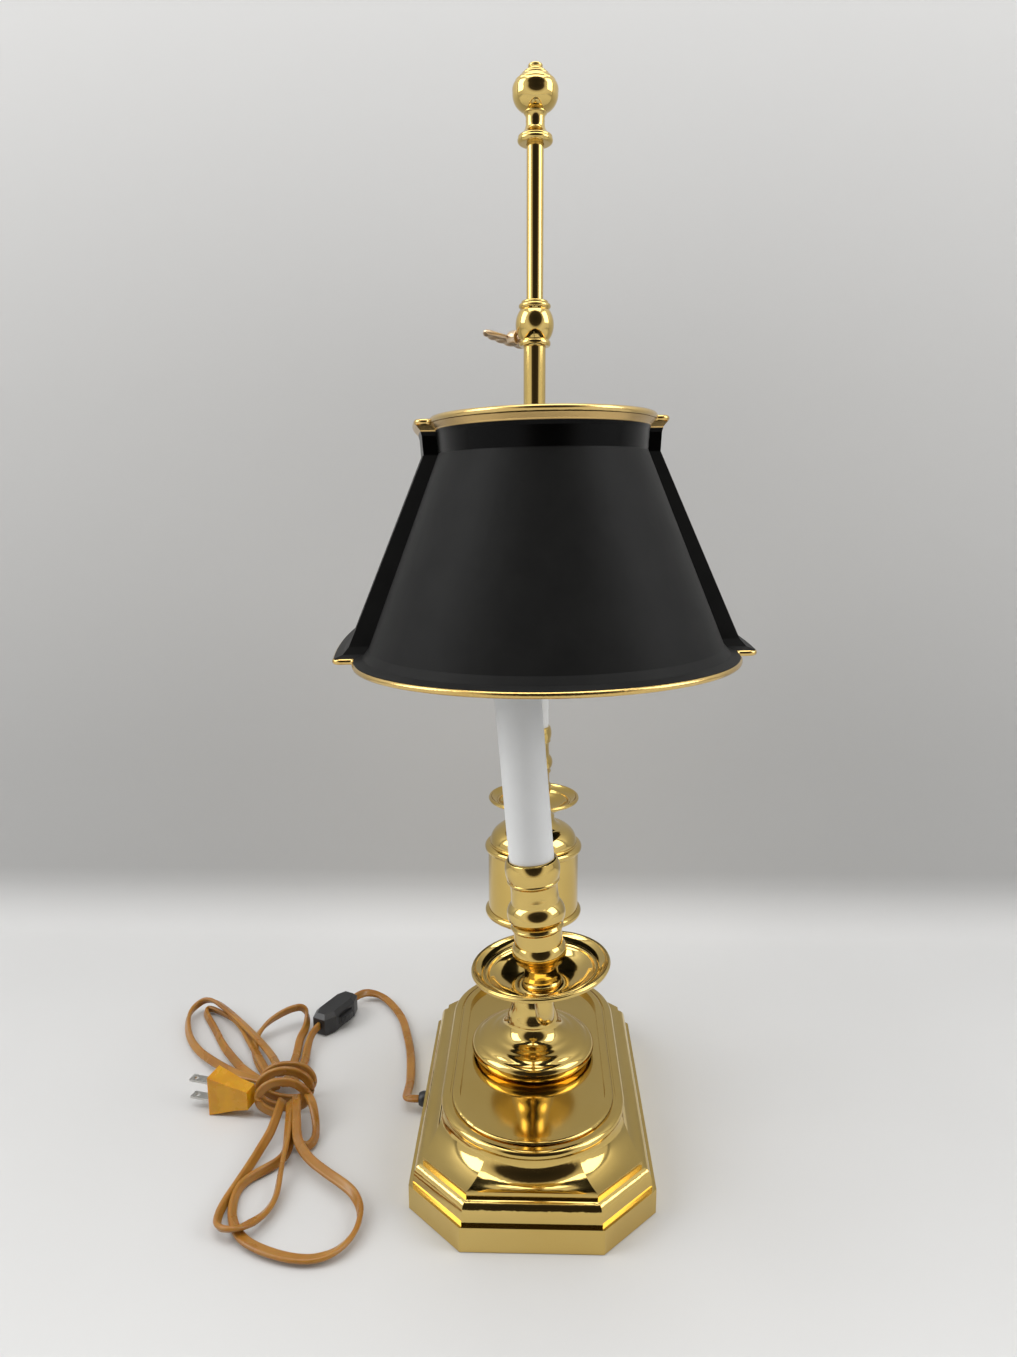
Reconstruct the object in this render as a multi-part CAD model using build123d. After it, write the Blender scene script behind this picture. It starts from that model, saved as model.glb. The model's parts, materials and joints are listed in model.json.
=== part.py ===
from build123d import *

import os
from math import atan2, cos, degrees, pi, radians, sin, sqrt, tan

# Two-light bouillotte lamp. Millimetres, +Z up, origin on the table under the column.
# X runs along the two candle arms: the loosened arm is at -X. The cord leaves the base at +Y.

# ---------------------------------------------------------------- driving dimensions
# Base casting: an octagon that rises through a cove into a raised oval panel.
BASE_LENGTH = 238.0
BASE_WIDTH = 144.0
BASE_CORNER = 32.0
BASE_GAP = 0.4  # the metal stands this far off the table, on its felt
BAND_TOP = 15.6
BAND_STEP = 2.4
OVOLO_BASE = 16.8
OVOLO_TOP = 27.6
OVOLO_DEPTH = 4.6
FILLET_STEP = 1.4
FILLET_TOP = 31.2
COVE_TOP = 44.0
BASE_WALL = 3.2
OVAL_HALF_LENGTH = 103.0
OVAL_HALF_WIDTH = 56.0
OVAL_LIP = 2.6  # the lip stands out this far over the cove
LIP_HEIGHT = 6.0
LIP_ROUND = 2.9
BEAD_STEP = 6.6  # from the lip's edge in to the inner bead
BEAD_WIDTH = 4.9
BEAD_RISE = 1.5
GROOVE_WIDTH = 1.3
GROOVE_DEPTH = 1.2
PANEL_Z = 48.3
ROOF_THICKNESS = 4.0
FELT_THICKNESS = 2.0
BOARD_THICKNESS = 2.5
BOARD_PLAY = 0.2
WEIGHT_THICKNESS = 18.0
WEIGHT_EDGE = 9.0  # the slug is this much smaller than the oval panel, all round

# Threaded centre pipe and its nut.
PIPE_RADIUS = 4.85
PIPE_BORE = 3.2
PIPE_PLAY = 0.1
PIPE_TAIL = 8.0
NUT_ACROSS = 16.0
NUT_HEIGHT = 5.0
WASHER_RADIUS = 14.0
WASHER_THICKNESS = 1.6

# Turned column.
FOOT_RADIUS = 36.5
FOOT_BULGE_RADIUS = 40.0
FOOT_BULGE_Z = 54.0
FOOT_SHOULDER_RADIUS = 24.2
FOOT_SHOULDER_Z = 72.4
FOOT_NECK_RADIUS = 9.6
FOOT_TOP = 104.0
KNOP_RADIUS = 13.0
KNOP_HEIGHT = 6.5
STEM_WAIST = 8.6
STEM_TOP_RADIUS = 24.0

# Drum that holds the arms and the wiring.
DRUM_RADIUS = 28.5
DRUM_WALL = 1.4
DRUM_FLOOR_Z = 146.5
DRUM_RIM_RADIUS = 30.6
DRUM_RIM_HEIGHT = 5.0
DRUM_TOP_Z = 194.5
DRUM_FLOOR_THICKNESS = 2.0
DRUM_SPIGOT = 2.6
LID_SHOULDER = (26.9, 199.3)
LID_WAIST = (17.4, 205.6)
LID_NECK_RADIUS = 6.9
LID_NECK_Z = 222.0
LID_TOP_Z = 226.0
LID_BEAD_RADIUS = 7.9

# Guide rod and finial.
ROD_RADIUS = 4.7625
ROD_BOTTOM = 214.0
FINIAL_BOTTOM = 598.8
FINIAL_FOOT_RADIUS = 9.35
FINIAL_NECK_RADIUS = 5.95
FINIAL_NECK_Z = 612.5
FINIAL_BALL_RADIUS = 12.3
FINIAL_BALL_Z = 625.6
FINIAL_RINGS = ((7.5, 634.6), (5.9, 636.9), (3.7, 639.2))
FINIAL_TIP_RADIUS = 2.9
FINIAL_TOP = 641.2
ROD_IN_FINIAL = 11.0

# Candle arms. The front arm (-X) has worked loose: it is twisted and swung a little in the drum.
REACH = 132.5
ARM_RADIUS = 4.75
ARM_BORE = 3.2
ARM_Z = 168.0
ARM_LOW_Z = 143.0
ARM_ELBOW = 20.0
ARM_START = 20.0
ARM_STRAIGHT = 32.0
ARM_NUT_ACROSS = 15.0
ARM_NUT_HEIGHT = 4.0
FRONT_TWIST = 4.75
FRONT_SWING = 2.2

# Drip pans, candle cups, candle sleeves, lampholders and bulbs, on each arm's end.
PAN_RADIUS = 34.6
PAN_RIM_Z = 181.3
PAN_RIM_ROUND = 1.5
PAN_WALL = 1.3
PAN_STEP_RADIUS = 28.4
PAN_FLOOR_Z = 170.9
PAN_HUB_RADIUS = 8.6
CUP_TOP = 236.9
CUP_SEAT_Z = 214.0
CUP_NECK_RADIUS = 8.6
SLEEVE_RADIUS = 11.1
SLEEVE_WALL = 1.0
SLEEVE_PLAY = 0.15
SLEEVE_TOP = 342.0
NIPPLE_TOP = 312.0
HOLDER_RADIUS = 9.6
HOLDER_BORE = 6.15
HOLDER_DEPTH = 22.0
BULB_BASE_RADIUS = 5.95
BULB_BASE_LENGTH = 20.0
BULB_RADIUS = 12.7
BULB_LENGTH = 70.0

# Sliding collar, tube and thumb key that carry the shade.
SLIDE_PLAY = 0.06
COLLAR_BOTTOM = 493.6
COLLAR_TOP = 518.5
COLLAR_RADIUS = 10.95
COLLAR_RING_RADIUS = 9.15
COLLAR_TOP_RING = 4.8
COLLAR_BOTTOM_RING = 3.8
TUBE_RADIUS = 6.35
TUBE_BORE = 5.1
TUBE_IN_COLLAR = 5.0
TUBE_BOTTOM = 433.0
TUBE_FLANGE_RADIUS = 10.0
TUBE_FLANGE_THICKNESS = 2.0
KEY_Z = 500.0
KEY_BEARING = 50.0  # degrees from +X towards +Y
KEY_ROLL = -20.0
KEY_STEM_RADIUS = 2.4
KEY_PLAY = 0.05
KEY_BOSS_RADIUS = 3.3
KEY_BOSS_FROM = 13.0
KEY_WING_FROM = 17.0
KEY_WING_DEPTH = 12.0
KEY_HALF_SPAN = 17.0
KEY_WING_THICKNESS = 2.4
KEY_SCALLOPS = 4

# Shade: two round end lobes between two slightly wider side panels, with ears at the corners.
SHADE_TURN = 3.0
SHADE_TILT = 0.9
SHADE_BOTTOM = 328.0
SHADE_CREASE = 431.0
SHADE_TOP = 447.0
SHADE_WALL = 1.2
EAR_X_BOTTOM = 84.0
EAR_X_TOP = 78.0
LOBE_X_BOTTOM = 177.0
LOBE_X_TOP = 148.0
LOBE_Y_BOTTOM = 93.5
LOBE_Y_TOP = 52.5
EAR_Y_BOTTOM = 104.5
EAR_Y_TOP = 60.0
SIDE_BOW = 5.0
LIP_FLARE = 4.5
LIP_DEPTH = 7.0
TOP_FLARE = 3.0
TOP_LIP_DEPTH = 5.0
BEAD_RADIUS = 1.6
BEAD_BEND = 3.2

# Spider that ties the shade to the tube.
SPIDER_RING_RADIUS = 12.5
SPIDER_THICKNESS = 1.8
SPIDER_ARM_WIDTH = 8.0
SPIDER_PLAY = 1.4  # loose round the tube: the flange below and the nut above hold it
SPIDER_LIFT = 0.3
SPIDER_NUT_ACROSS = 19.0
SPIDER_NUT_HEIGHT = 4.0

# Cord, bushing, switch and plug.
CORD_RADIUS = 3.1
BUSHING_Z = 10.4
BUSHING_RADIUS = 4.2
BUSHING_HEAD = 5.1
BUSHING_COLLAR = 4.7
BUSHING_OUT = 4.5
BUSHING_IN = 4.0
SWITCH_CENTRE = (109.0, 156.0)
SWITCH_BEARING = 154.5
SWITCH_LENGTH = 42.0
SWITCH_WIDTH = 19.0
SWITCH_HEIGHT = 17.0
SWITCH_NECK = 11.0
SWITCH_WALL = 2.0
WHEEL_RADIUS = 9.5
WHEEL_THICKNESS = 5.0
WHEEL_OFFSET = 4.5
WHEEL_TEETH = 18
WHEEL_PLAY = 0.5
PLUG_WIDTH = 28.0
PLUG_THICKNESS = 15.0
PLUG_LENGTH = 28.0
PLUG_NECK_WIDTH = 13.0
PLUG_NECK_THICKNESS = 10.0
PLUG_BACK = (-6.0, 188.8)
PLUG_BEARING = 76.0
BLADE_LENGTH = 17.0
BLADE_WIDTH = 6.35
BLADE_THICKNESS = 1.5
BLADE_SPACING = 12.7
BLADE_HOLE_RADIUS = 1.6

# The bundled cord: a knot round its middle, with loops to both sides.
KNOT_CENTRE = (4.0, 170.0)
KNOT_LENGTH = 29.0
KNOT_WIDTH = 35.0
KNOT_HEIGHT = 25.0
KNOT_ROUND = 11.0
KNOT_BEVEL = 4.0

# Route of the cord from the bushing to the switch, and from the switch to the knot.
LEAD_ROUTE = [
    (0, 76.5, 10.4), (0, 84, 10.4), (5, 91, 7.6), (19, 94.5, 4.2), (40, 92, 3.3), (66, 92, 3.3),
    (90, 97, 3.3), (110, 103, 3.3), (127, 110, 3.3), (140, 119.5, 4), (144, 132, 6),
]
LEAD_APPROACH = 12.0
TAIL_ROUTE = [(66, 168.5, 5), (49, 166, 4.5), (33, 166, 8)]
TAIL_APPROACH = 10.0
TAIL_END_Y = 166.0
TAIL_END_Z = 10.0


# ---------------------------------------------------------------- helpers
def profile(start, *steps):
    """Closed outline on the XZ plane. A step is (x, z), or (x, z, bulge) for an arc that swells to the right."""
    here = start
    edges = []
    for step in steps:
        end = (step[0], step[1])
        if len(step) == 3:
            edges.append(SagittaArc(here, end, -step[2]))
        else:
            edges.append(Line(here, end))
        here = end
    edges.append(Line(here, start))
    return Plane.XZ * make_face(edges)


def turned(start, *steps):
    """Turned piece about Z: its outline starts at the bore and runs round outwards and up."""
    return revolve(profile(start, *steps), Axis.Z)


def rod(radius, bottom, top):
    """Plain round bar on the Z axis."""
    return Pos(0, 0, bottom) * extrude(Circle(radius), top - bottom)


def pipe(radius, bore, bottom, top):
    """Round tube on the Z axis."""
    return Pos(0, 0, bottom) * extrude(Circle(radius) - Circle(bore), top - bottom)


def hex_nut(across, bore, bottom, height):
    """Hexagon nut on the Z axis, with its corners turned off."""
    corner = across / sqrt(3)
    nut = extrude(RegularPolygon(corner, 6) - Circle(bore), height)
    return Pos(0, 0, bottom) * (nut & rod(corner * 0.97, 0, height))


def octagon(inset, z):
    """The base's outline, moved in all round, with its corners kept at 45 degrees."""
    half_length = BASE_LENGTH / 2 - inset
    half_width = BASE_WIDTH / 2 - inset
    corner = BASE_CORNER - inset * (2 - sqrt(2))
    quarter = [(half_length, half_width - corner), (half_length - corner, half_width)]
    points = quarter + [(-x, y) for x, y in reversed(quarter)]
    points += [(-x, -y) for x, y in quarter] + [(x, -y) for x, y in reversed(quarter)]
    return Pos(0, 0, z) * make_face(Polyline(*points, close=True))


def oval(inset, z):
    """The raised panel's outline: straight sides with round ends."""
    half_width = OVAL_HALF_WIDTH - inset
    straight = 2 * (OVAL_HALF_LENGTH - OVAL_HALF_WIDTH)
    return Pos(0, 0, z) * SlotCenterToCenter(straight, 2 * half_width)


def cove_section(share, z):
    """The base between its octagon and its oval: share 0 is the octagon, share 1 the oval."""
    inset = BAND_STEP + OVOLO_DEPTH + FILLET_STEP
    half_length = BASE_LENGTH / 2 - inset
    half_width = BASE_WIDTH / 2 - inset
    corner = BASE_CORNER - inset * (2 - sqrt(2))
    round_end = OVAL_HALF_WIDTH - OVAL_LIP
    centre = OVAL_HALF_LENGTH - OVAL_HALF_WIDTH
    near = atan2(half_width - corner, half_length - centre)

    def on_oval(angle):
        return centre + round_end * cos(angle), round_end * sin(angle)

    def mixed(flat, curved):
        return tuple(a + share * (b - a) for a, b in zip(flat, curved))

    end_corner = mixed((half_length, half_width - corner), on_oval(near))
    end_middle = mixed((half_length, 0), on_oval(0))
    side_corner = mixed((half_length - corner, half_width), on_oval(pi / 2))
    corner_middle = mixed(
        (half_length - corner / 2, half_width - corner / 2), on_oval((near + pi / 2) / 2)
    )
    edges = []
    for side in (1, -1):
        a, b, c, d = (
            (side * x, side * y) for x, y in (
                (end_corner[0], -end_corner[1]), end_corner, side_corner, (-side_corner[0], side_corner[1])
            )
        )
        middle = (side * end_middle[0], 0)
        rise = (side * corner_middle[0], side * corner_middle[1])
        fall = (-rise[0], rise[1])
        e = (-side * end_corner[0], side * end_corner[1])
        edges += [arc(a, middle, b, share), arc(b, rise, c, share), Line(c, d), arc(d, fall, e, share)]
    return Pos(0, 0, z) * make_face(edges)


def arc(start, middle, end, share):
    """An arc through three points, or a straight line where there is no rise."""
    if share == 0:
        return Line(start, end)
    return ThreePointArc(start, middle, end)


def route_path(points):
    """Straight runs joined by tangent arcs, each as large as its two runs allow."""
    radii = []
    for before, here, after in zip(points, points[1:], points[2:]):
        first = Vector(*here) - Vector(*before)
        second = Vector(*after) - Vector(*here)
        half_turn = radians(first.get_angle(second)) / 2
        radii.append(0.45 * min(first.length, second.length) / tan(half_turn))
    print("radii", [round(radius, 1) for radius in radii])
    return FilletPolyline(*points, radius=radii)


def cord_along(points, name):
    """Round cord along a route."""
    path = route_path(points)
    section = Plane(origin=path @ 0, z_dir=path % 0) * Circle(CORD_RADIUS)
    cord = sweep(section, path=path)
    expected = pi * CORD_RADIUS ** 2 * path.length
    print(name, "length", round(path.length, 1), "volume share", round(cord.volume / expected, 4))
    return cord


# ---------------------------------------------------------------- base
def base_shell():
    band = extrude(octagon(0, BASE_GAP), BAND_TOP - BASE_GAP)
    step = extrude(octagon(BAND_STEP, BAND_TOP), OVOLO_BASE - BAND_TOP)
    rise = OVOLO_TOP - OVOLO_BASE
    ovolo = loft([
        octagon(BAND_STEP + OVOLO_DEPTH * (1 - cos(radians(a))), OVOLO_BASE + rise * sin(radians(a)))
        for a in (0, 30, 60, 90)
    ])
    fillet_inset = BAND_STEP + OVOLO_DEPTH + FILLET_STEP
    fillet_ring = extrude(octagon(fillet_inset, OVOLO_TOP), FILLET_TOP - OVOLO_TOP)
    depth = COVE_TOP - FILLET_TOP
    cove = loft([
        cove_section(sin(radians(a)), FILLET_TOP + depth * (1 - cos(radians(a))))
        for a in (0, 22.5, 45, 67.5, 90)
    ])
    lip = extrude(oval(0, COVE_TOP), LIP_HEIGHT)
    lip = fillet(lip.edges().filter_by(Plane.XY), LIP_ROUND)
    bead = extrude(oval(BEAD_STEP, COVE_TOP), LIP_HEIGHT + BEAD_RISE)
    bead = fillet(bead.edges().group_by(Axis.Z)[-1], BEAD_RISE)
    lip_top = COVE_TOP + LIP_HEIGHT
    groove = extrude(
        oval(BEAD_STEP - GROOVE_WIDTH, lip_top - GROOVE_DEPTH) - oval(BEAD_STEP, lip_top - GROOVE_DEPTH),
        GROOVE_DEPTH,
    )
    panel = extrude(oval(BEAD_STEP + BEAD_WIDTH, PANEL_Z), LIP_HEIGHT)
    body = band + step + ovolo + fillet_ring + cove + lip + bead - groove - panel
    roof = PANEL_Z - ROOF_THICKNESS
    hollow = extrude(octagon(BASE_WALL, 0), OVOLO_BASE - BASE_WALL / 2)
    hollow += extrude(octagon(BAND_STEP + OVOLO_DEPTH + BASE_WALL, 0), OVOLO_TOP)
    hollow += extrude(oval(OVAL_LIP + BASE_WALL, 0), roof)
    pipe_hole = rod(PIPE_RADIUS + PIPE_PLAY, 0, lip_top)
    bushing_hole = Pos(0, BASE_WIDTH / 2, BUSHING_Z) * Rot(X=90) * Cylinder(BUSHING_RADIUS, 4 * BASE_WALL)
    return body - (hollow + pipe_hole + bushing_hole)


def base_felt():
    return extrude(octagon(BASE_WALL + BOARD_PLAY, 0), FELT_THICKNESS)


def base_board():
    return extrude(octagon(BASE_WALL + BOARD_PLAY, FELT_THICKNESS), BOARD_THICKNESS)


def base_weight():
    roof = PANEL_Z - ROOF_THICKNESS
    slug = extrude(oval(OVAL_LIP + BASE_WALL + WEIGHT_EDGE, roof - WEIGHT_THICKNESS), WEIGHT_THICKNESS)
    slug = chamfer(slug.edges().group_by(Axis.Z)[0], 2)
    return slug - rod(PIPE_RADIUS + PIPE_PLAY, 0, roof)


def under_weight():
    """Height of the slug's underside, where the washer bears."""
    return PANEL_Z - ROOF_THICKNESS - WEIGHT_THICKNESS


def base_washer():
    return pipe(WASHER_RADIUS, PIPE_RADIUS + PIPE_PLAY, under_weight() - WASHER_THICKNESS, under_weight())


def base_nut():
    bottom = under_weight() - WASHER_THICKNESS - NUT_HEIGHT
    return hex_nut(NUT_ACROSS, PIPE_RADIUS + PIPE_PLAY, bottom, NUT_HEIGHT)


def center_pipe():
    bottom = under_weight() - WASHER_THICKNESS - PIPE_TAIL
    return pipe(PIPE_RADIUS, PIPE_BORE, bottom, ROD_BOTTOM)


# ---------------------------------------------------------------- column and drum
def column_foot():
    bore = PIPE_RADIUS + PIPE_PLAY
    return turned(
        (bore, PANEL_Z),
        (FOOT_RADIUS, PANEL_Z),
        (FOOT_BULGE_RADIUS, FOOT_BULGE_Z, 0.9),
        (FOOT_SHOULDER_RADIUS, FOOT_SHOULDER_Z, 4.2),
        (FOOT_SHOULDER_RADIUS - 0.9, FOOT_SHOULDER_Z + 0.9),
        (FOOT_NECK_RADIUS + 3.2, FOOT_SHOULDER_Z + 17.6, -2.6),
        (FOOT_NECK_RADIUS, FOOT_TOP, -0.5),
        (bore, FOOT_TOP),
    )


def column_stem():
    bore = PIPE_RADIUS + PIPE_PLAY
    return turned(
        (bore, FOOT_TOP),
        (FOOT_NECK_RADIUS, FOOT_TOP),
        (FOOT_NECK_RADIUS, FOOT_TOP + 1.2),
        (FOOT_NECK_RADIUS, FOOT_TOP + 1.2 + KNOP_HEIGHT, KNOP_RADIUS - FOOT_NECK_RADIUS),
        (STEM_WAIST, FOOT_TOP + KNOP_HEIGHT + 3.2, -0.6),
        (STEM_TOP_RADIUS - 2, DRUM_FLOOR_Z - 4.5, -6.5),
        (STEM_TOP_RADIUS, DRUM_FLOOR_Z - 3),
        (STEM_TOP_RADIUS, DRUM_FLOOR_Z),
        (bore, DRUM_FLOOR_Z),
    )


def drum_seat():
    """Height at which the drum's wall stands on its rim."""
    return DRUM_FLOOR_Z + DRUM_RIM_HEIGHT


def drum_lid_seat():
    return DRUM_TOP_Z - DRUM_RIM_HEIGHT


def drum_pan():
    bore = PIPE_RADIUS + PIPE_PLAY
    inner = DRUM_RADIUS - DRUM_WALL - PIPE_PLAY
    rim = DRUM_RIM_RADIUS - DRUM_RIM_HEIGHT / 2
    return turned(
        (bore, DRUM_FLOOR_Z),
        (rim, DRUM_FLOOR_Z),
        (rim, drum_seat(), DRUM_RIM_HEIGHT / 2),
        (inner, drum_seat()),
        (inner, drum_seat() + DRUM_SPIGOT),
        (inner - DRUM_WALL, drum_seat() + DRUM_SPIGOT),
        (inner - DRUM_WALL, DRUM_FLOOR_Z + DRUM_FLOOR_THICKNESS),
        (bore, DRUM_FLOOR_Z + DRUM_FLOOR_THICKNESS),
    )


def drum_body():
    wall = pipe(DRUM_RADIUS, DRUM_RADIUS - DRUM_WALL, drum_seat(), drum_lid_seat())
    hole = Pos(0, 0, ARM_Z) * Rot(Y=90) * rod(ARM_RADIUS + PIPE_PLAY, 0, 2 * DRUM_RADIUS)
    return wall - hole - loosened(Rot(Z=180) * hole)


def drum_lid():
    bore = ROD_RADIUS + PIPE_PLAY
    inner = DRUM_RADIUS - DRUM_WALL - PIPE_PLAY
    rim = DRUM_RIM_RADIUS - DRUM_RIM_HEIGHT / 2
    seat = drum_lid_seat()
    return turned(
        (bore, LID_TOP_Z - 13),
        (11.5, LID_WAIST[1] - 1),
        (inner - DRUM_WALL, LID_SHOULDER[1] - 3.2),
        (inner - DRUM_WALL, seat - DRUM_SPIGOT),
        (inner, seat - DRUM_SPIGOT),
        (inner, seat),
        (rim, seat),
        (rim, DRUM_TOP_Z, DRUM_RIM_HEIGHT / 2),
        (LID_SHOULDER[0] + 0.4, DRUM_TOP_Z + 1.2, -0.5),
        (LID_WAIST[0], LID_WAIST[1], 2.6),
        (LID_WAIST[0] - 4.2, LID_WAIST[1] + 6.4, -1.2),
        (LID_NECK_RADIUS, LID_NECK_Z, -0.8),
        (LID_NECK_RADIUS, LID_TOP_Z - 0.4, LID_BEAD_RADIUS - LID_NECK_RADIUS),
        (bore, LID_TOP_Z),
    )


def guide_rod():
    return rod(ROD_RADIUS, ROD_BOTTOM, FINIAL_BOTTOM + ROD_IN_FINIAL)


def finial():
    bore = ROD_RADIUS + PIPE_PLAY
    ball_low = FINIAL_BALL_Z - 10.4
    low_radius = sqrt(FINIAL_BALL_RADIUS ** 2 - 10.4 ** 2)
    ring_base = FINIAL_RINGS[0][1]
    high_radius = sqrt(FINIAL_BALL_RADIUS ** 2 - (ring_base - 1.2 - FINIAL_BALL_Z) ** 2)
    steps = []
    for radius, z in FINIAL_RINGS:
        steps += [(radius, z - 0.9), (radius - 0.5, z + 1.0, 0.5)]
    return turned(
        (bore, FINIAL_BOTTOM),
        (FINIAL_FOOT_RADIUS - 1.8, FINIAL_BOTTOM),
        (FINIAL_FOOT_RADIUS, FINIAL_BOTTOM + 3.4, 0.8),
        (FINIAL_FOOT_RADIUS - 1.5, FINIAL_BOTTOM + 5.6, 0.5),
        (FINIAL_NECK_RADIUS, FINIAL_NECK_Z, -0.9),
        (low_radius, ball_low, -0.2),
        (FINIAL_BALL_RADIUS, FINIAL_BALL_Z, 2.0),
        (high_radius, ring_base - 1.2, 1.05),
        *steps,
        (FINIAL_TIP_RADIUS, FINIAL_RINGS[-1][1] + 1.0),
        (FINIAL_TIP_RADIUS - 0.5, FINIAL_TOP, 0.2),
        (0, FINIAL_TOP),
        (0, FINIAL_BOTTOM + ROD_IN_FINIAL),
        (bore, FINIAL_BOTTOM + ROD_IN_FINIAL),
    )


# ---------------------------------------------------------------- candle arms
def arm_end(side, piece):
    """Puts a piece that was turned on the Z axis at an arm's end: side -1 is the loosened front arm."""
    placed = Pos(side * REACH, 0, 0) * piece
    if side > 0:
        return placed
    return loosened(placed)


def loosened(piece):
    """The front arm's twist about its own tube, and its swing in the drum."""
    twist = Pos(0, 0, ARM_Z) * Rot(X=-FRONT_TWIST) * Pos(0, 0, -ARM_Z)
    return Rot(Z=FRONT_SWING) * twist * piece


def arm_path(side):
    root = (side * ARM_START, 0, ARM_Z)
    start = (side * ARM_STRAIGHT, 0, ARM_Z)
    dip = (side * (REACH - ARM_ELBOW), 0, ARM_LOW_Z)
    middle = (side * (ARM_STRAIGHT + REACH - ARM_ELBOW) / 2, 0, (ARM_Z + ARM_LOW_Z) / 2)
    sweep_down = Spline(start, middle, dip, tangents=[(side, 0, 0), (side, 0, 0)])
    turn_up = TangentArc(dip, (side * REACH, 0, ARM_LOW_Z + ARM_ELBOW), tangent=(side, 0, 0))
    return Wire([Line(root, start), sweep_down, turn_up])


def arm(side):
    path = arm_path(side)
    section = Plane(origin=path @ 0, z_dir=path % 0) * (Circle(ARM_RADIUS) - Circle(ARM_BORE))
    tube = sweep(section, path=path)
    return tube if side > 0 else loosened(tube)


def arm_nut(side):
    """Lock nut on the arm's thread, inside the drum."""
    outside = sqrt((DRUM_RADIUS - DRUM_WALL) ** 2 - (ARM_NUT_ACROSS / sqrt(3)) ** 2)
    nut = hex_nut(ARM_NUT_ACROSS, ARM_RADIUS + PIPE_PLAY, outside - ARM_NUT_HEIGHT - 0.2, ARM_NUT_HEIGHT)
    placed = Pos(0, 0, ARM_Z) * Rot(Y=side * 90) * nut
    return placed if side > 0 else loosened(placed)


def pan_seat():
    return ARM_LOW_Z + ARM_ELBOW


def drip_pan(side):
    bore = PIPE_RADIUS + PIPE_PLAY
    rim = PAN_RADIUS - PAN_RIM_ROUND
    hub = pan_seat()
    dish = turned(
        (bore, hub),
        (PAN_HUB_RADIUS, hub),
        (19.0, PAN_FLOOR_Z - 2.0, -2.2),
        (PAN_STEP_RADIUS - 2.2, PAN_FLOOR_Z + 1.6),
        (PAN_STEP_RADIUS + 0.7, PAN_FLOOR_Z + 4.2, 0.6),
        (rim + 0.6, PAN_RIM_Z - PAN_RIM_ROUND * 0.9, 0.9),
        (rim - 0.9, PAN_RIM_Z + PAN_RIM_ROUND * 0.8, 2.3),
        (PAN_STEP_RADIUS + 0.8, PAN_FLOOR_Z + 6.3, -1.1),
        (PAN_STEP_RADIUS - 0.9, PAN_FLOOR_Z + 5.6, 0.7),
        (PAN_STEP_RADIUS - 2.6, PAN_FLOOR_Z + 3.0, -0.5),
        (19.0, PAN_FLOOR_Z - 2.0 + PAN_WALL),
        (PAN_HUB_RADIUS + 1.4, PAN_FLOOR_Z, 0.9),
        (bore, PAN_FLOOR_Z),
    )
    return arm_end(side, dish)


def candle_cup(side):
    bore = PIPE_RADIUS + PIPE_PLAY
    mouth = SLEEVE_RADIUS + SLEEVE_PLAY
    floor = PAN_FLOOR_Z
    cup = turned(
        (bore, floor),
        (CUP_NECK_RADIUS + 0.8, floor),
        (CUP_NECK_RADIUS + 0.8, floor + 1.5, 0.4),
        (CUP_NECK_RADIUS, floor + 5.0, -0.4),
        (12.0, floor + 12.4, -1.3),
        (12.7, floor + 13.6, 0.2),
        (12.1, floor + 21.9, 1.2),
        (12.0, floor + 29.2),
        (12.9, floor + 30.0),
        (12.9, floor + 31.4, 0.3),
        (12.4, floor + 32.4),
        (11.9, floor + 43.4, 2.3),
        (11.75, floor + 46.5),
        (11.75, floor + 53.0, -0.2),
        (12.6, floor + 54.0),
        (12.6, floor + 55.4, 0.3),
        (12.7, CUP_TOP - 0.6, 0.9),
        (mouth + 0.5, CUP_TOP, 0.1),
        (mouth, CUP_TOP),
        (mouth, CUP_SEAT_Z),
        (bore, CUP_SEAT_Z),
    )
    return arm_end(side, cup)


def candle_sleeve(side):
    return arm_end(side, pipe(SLEEVE_RADIUS, SLEEVE_RADIUS - SLEEVE_WALL, CUP_SEAT_Z, SLEEVE_TOP))


def candle_nipple(side):
    return arm_end(side, pipe(PIPE_RADIUS, PIPE_BORE, pan_seat(), NIPPLE_TOP))


def lampholder(side):
    floor = SLEEVE_TOP - HOLDER_DEPTH - 1
    holder = rod(HOLDER_RADIUS, NIPPLE_TOP, SLEEVE_TOP - 1) - rod(HOLDER_BORE, floor, SLEEVE_TOP)
    return arm_end(side, holder - rod(PIPE_BORE, NIPPLE_TOP, NIPPLE_TOP + 3))


def bulb_base(side):
    floor = SLEEVE_TOP - HOLDER_DEPTH - 1
    contact = 2.2
    base = turned(
        (0, floor),
        (contact, floor),
        (contact, floor + 1.2),
        (BULB_BASE_RADIUS, floor + 3.2),
        (BULB_BASE_RADIUS, SLEEVE_TOP),
        (0, SLEEVE_TOP),
    )
    return arm_end(side, base)


def bulb(side):
    """Candle-shaped lamp glass on its screw base."""
    widest = SLEEVE_TOP + BULB_LENGTH * 0.36
    tip = SLEEVE_TOP + BULB_LENGTH
    glass = turned(
        (0, SLEEVE_TOP),
        (BULB_BASE_RADIUS + 0.6, SLEEVE_TOP),
        (BULB_RADIUS, widest, 2.2),
        (3.2, tip - 3.4, 4.2),
        (1.0, tip, 0.6),
        (0, tip),
    )
    return arm_end(side, glass)


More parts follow.
